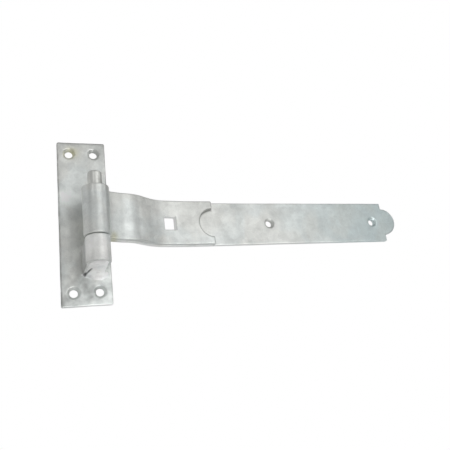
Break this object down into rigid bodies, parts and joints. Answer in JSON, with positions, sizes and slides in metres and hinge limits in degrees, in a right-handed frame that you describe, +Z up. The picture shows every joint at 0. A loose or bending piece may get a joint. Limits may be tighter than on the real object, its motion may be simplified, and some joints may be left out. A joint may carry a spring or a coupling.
{
  "type": "hook and band t hinge",
  "caption": "Cranked hook-and-band T hinge for a gate: a long galvanised strap with a rolled eye turns on an upright pin, held by a U bracket on a rectangular screw-on plate.",
  "frame": {"origin": "centre of the hook plate's back face, the face that lies against the post", "axes": "+X along the band towards its tip, +Y into the post, so that -Y faces the user, +Z up along the hinge pin"},
  "size_m": [0.3286, 0.0478, 0.143],
  "materials": {
    "galvanised_plate": "hot-dip galvanised, matt grey with faint mottling",
    "galvanised_bracket": "hot-dip galvanised, smooth and brighter on the bend",
    "galvanised_pin": "hot-dip galvanised round bar, satin",
    "galvanised_weld": "lumpy weld metal under zinc",
    "galvanised_band": "hot-dip galvanised, cool grey with soft spangle and runs"
  },
  "bodies": {
    "hook": {"hook_plate": "galvanised_plate", "hook_bracket": "galvanised_bracket", "hinge_pin": "galvanised_pin", "weld_bottom": "galvanised_weld", "weld_top": "galvanised_weld"},
    "band": {"gate_band": "galvanised_band"}
  },
  "joints": [
    {"name": "band_swing", "type": "hinge", "parent": "hook", "child": "band", "pos_m": [0.0061, -0.03725, 0], "axis": [0, 0, 1], "range_deg": [-180, 25]}
  ]
}
